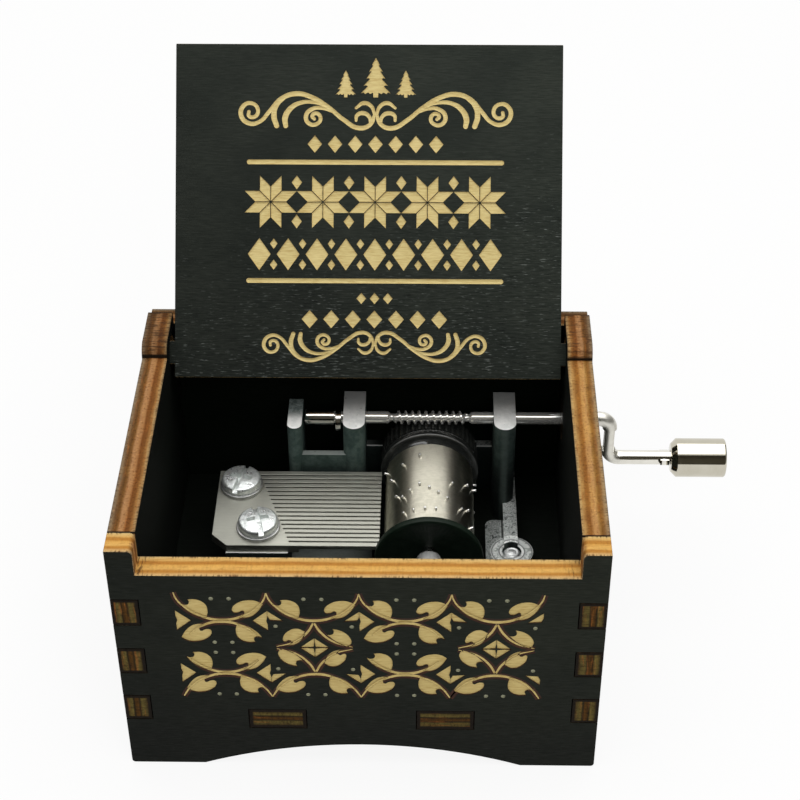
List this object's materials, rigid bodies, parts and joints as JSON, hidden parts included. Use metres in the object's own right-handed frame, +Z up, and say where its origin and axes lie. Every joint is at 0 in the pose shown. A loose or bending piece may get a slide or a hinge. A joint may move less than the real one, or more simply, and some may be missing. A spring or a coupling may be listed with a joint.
{
  "type": "hand-cranked music box",
  "caption": "Small plywood music box with an arched base and a lid on its own pegs; a crank turns a worm that drives a pinned cylinder under a tuned steel comb.",
  "frame": {"origin": "on the surface that the feet stand on, under the middle of the case, leaving out the open lid and the crank", "axes": "+X towards the crank, +Y towards the hinged back wall, +Z up"},
  "size_m": [0.0851, 0.073, 0.0738],
  "materials": {
    "panel_ply": "black-stained faces, honey-coloured scorched ply edges, engraved vine band on the front",
    "side_ply": "black-stained faces, honey-coloured scorched ply edges",
    "floor_ply": "black-stained faces, scorched ply tab ends",
    "lid_ply": "black-stained faces with fine grain, engraved ornament on the inside",
    "frame_zinc": "satin die-cast zinc",
    "comb_steel": "ground spring steel, satin",
    "weight_lead": "dull lead",
    "screw_nickel": "bright nickel plate",
    "washer_steel": "dull steel",
    "mounting_steel": "nickel-plated steel",
    "crank_nickel": "polished nickel plate",
    "collar_nickel": "polished nickel plate",
    "knob_nickel": "polished nickel plate",
    "cylinder_nickel": "nickel-plated brass, softly polished",
    "pin_steel": "bright steel",
    "black_plastic": "black moulded plastic",
    "arbor_steel": "ground steel"
  },
  "bodies": {
    "case": {"front_panel": "panel_ply", "back_panel": "panel_ply", "left_panel": "side_ply", "right_panel": "side_ply", "bottom_panel": "floor_ply", "movement_frame": "frame_zinc", "comb": "comb_steel", "tuning_weights": "weight_lead", "comb_screws": "screw_nickel", "comb_washers": "washer_steel", "mounting_screws": "mounting_steel"},
    "lid": {"lid": "lid_ply"},
    "crank": {"crank_shaft": "crank_nickel", "shaft_collar": "collar_nickel", "shaft_end_sleeve": "collar_nickel"},
    "knob": {"crank_knob": "knob_nickel"},
    "cylinder": {"cylinder_sleeve": "cylinder_nickel", "cylinder_pins": "pin_steel", "cylinder_gear": "black_plastic", "cylinder_end_cap": "black_plastic", "cylinder_arbor": "arbor_steel"}
  },
  "joints": [
    {"name": "lid_hinge", "type": "hinge", "parent": "case", "child": "lid", "pos_m": [0, 0.0183, 0.0378], "axis": [1, 0, 0], "range_deg": [0, 127.9]},
    {"name": "crank_spin", "type": "hinge", "parent": "case", "child": "crank", "pos_m": [0, 0.0172, 0.02684], "axis": [1, 0, 0], "continuous": true},
    {"name": "cylinder_spin", "type": "hinge", "parent": "case", "child": "cylinder", "pos_m": [0.009, 0, 0.019], "axis": [0, 1, 0], "continuous": true},
    {"name": "knob_spin", "type": "hinge", "parent": "crank", "child": "knob", "pos_m": [0.049, 0.0172, 0.01944], "axis": [1, 0, 0], "continuous": true}
  ],
  "couplings": [
    {"joint": "cylinder_spin", "follows": "crank_spin", "ratio": -0.022727}
  ]
}
